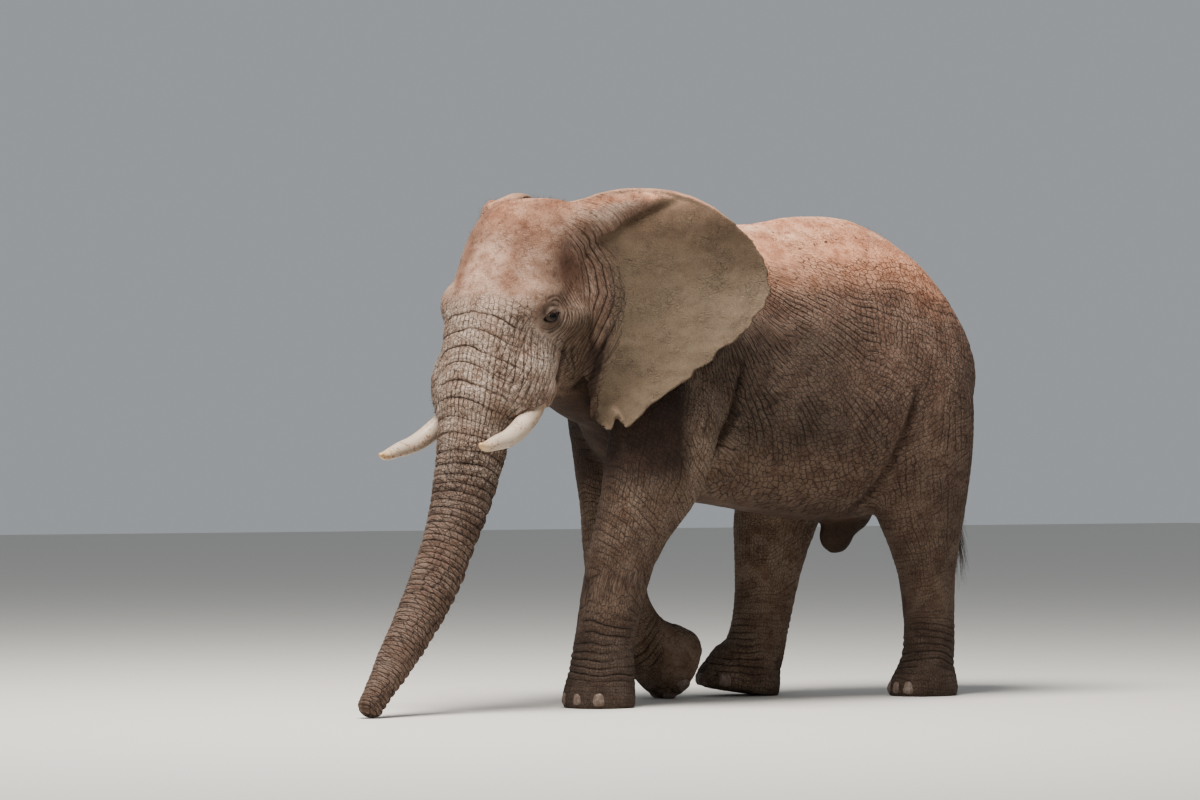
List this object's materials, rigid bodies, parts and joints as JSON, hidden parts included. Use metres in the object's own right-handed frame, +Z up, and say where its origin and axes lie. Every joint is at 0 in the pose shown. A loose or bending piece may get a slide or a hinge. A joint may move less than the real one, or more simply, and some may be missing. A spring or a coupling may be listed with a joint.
{
  "type": "elephant",
  "caption": "Life-size African bush elephant bull, walking with its trunk lowered to the ground and its ears spread, with short curved tusks and wrinkled grey-brown hide.",
  "frame": {"origin": "on the ground, under the middle of the whole animal's bounding box", "axes": "+Z up; the elephant faces -Y, so +Y runs back towards the tail; its left side is +X"},
  "size_m": [2.0376, 4.904, 3.0634],
  "materials": {
    "hide": "dry, dusty, wrinkled skin",
    "ear_hide": "thinner, smoother dry skin",
    "ivory": "satin ivory with earth stains",
    "nails": "dull horn, scuffed",
    "eyes": "wet and glossy",
    "tail_hair": "coarse wiry hair"
  },
  "bodies": {
    "root": {"belly_sheath": "hide", "ear_left": "ear_hide", "ear_right": "ear_hide", "eye_left": "eyes", "eye_right": "eyes", "forefoot_left": "hide", "forefoot_left_nail_1": "nails", "forefoot_left_nail_2": "nails", "forefoot_left_nail_3": "nails", "forefoot_left_nail_4": "nails", "forefoot_right": "hide", "forefoot_right_nail_1": "nails", "forefoot_right_nail_2": "nails", "forefoot_right_nail_3": "nails", "forefoot_right_nail_4": "nails", "foreleg_left_lower": "hide", "foreleg_left_upper": "hide", "foreleg_right_lower": "hide", "foreleg_right_upper": "hide", "head": "hide", "hindfoot_left": "hide", "hindfoot_left_nail_1": "nails", "hindfoot_left_nail_2": "nails", "hindfoot_left_nail_3": "nails", "hindfoot_right": "hide", "hindfoot_right_nail_1": "nails", "hindfoot_right_nail_2": "nails", "hindfoot_right_nail_3": "nails", "hindleg_left_shank": "hide", "hindleg_left_thigh": "hide", "hindleg_right_shank": "hide", "hindleg_right_thigh": "hide", "lower_jaw": "hide", "neck": "hide", "tail": "hide", "tail_tuft": "tail_hair", "torso": "hide", "trunk_lower": "hide", "trunk_middle": "hide", "trunk_tip": "hide", "trunk_upper": "hide", "tusk_left": "ivory", "tusk_right": "ivory"}
  },
  "joints": []
}
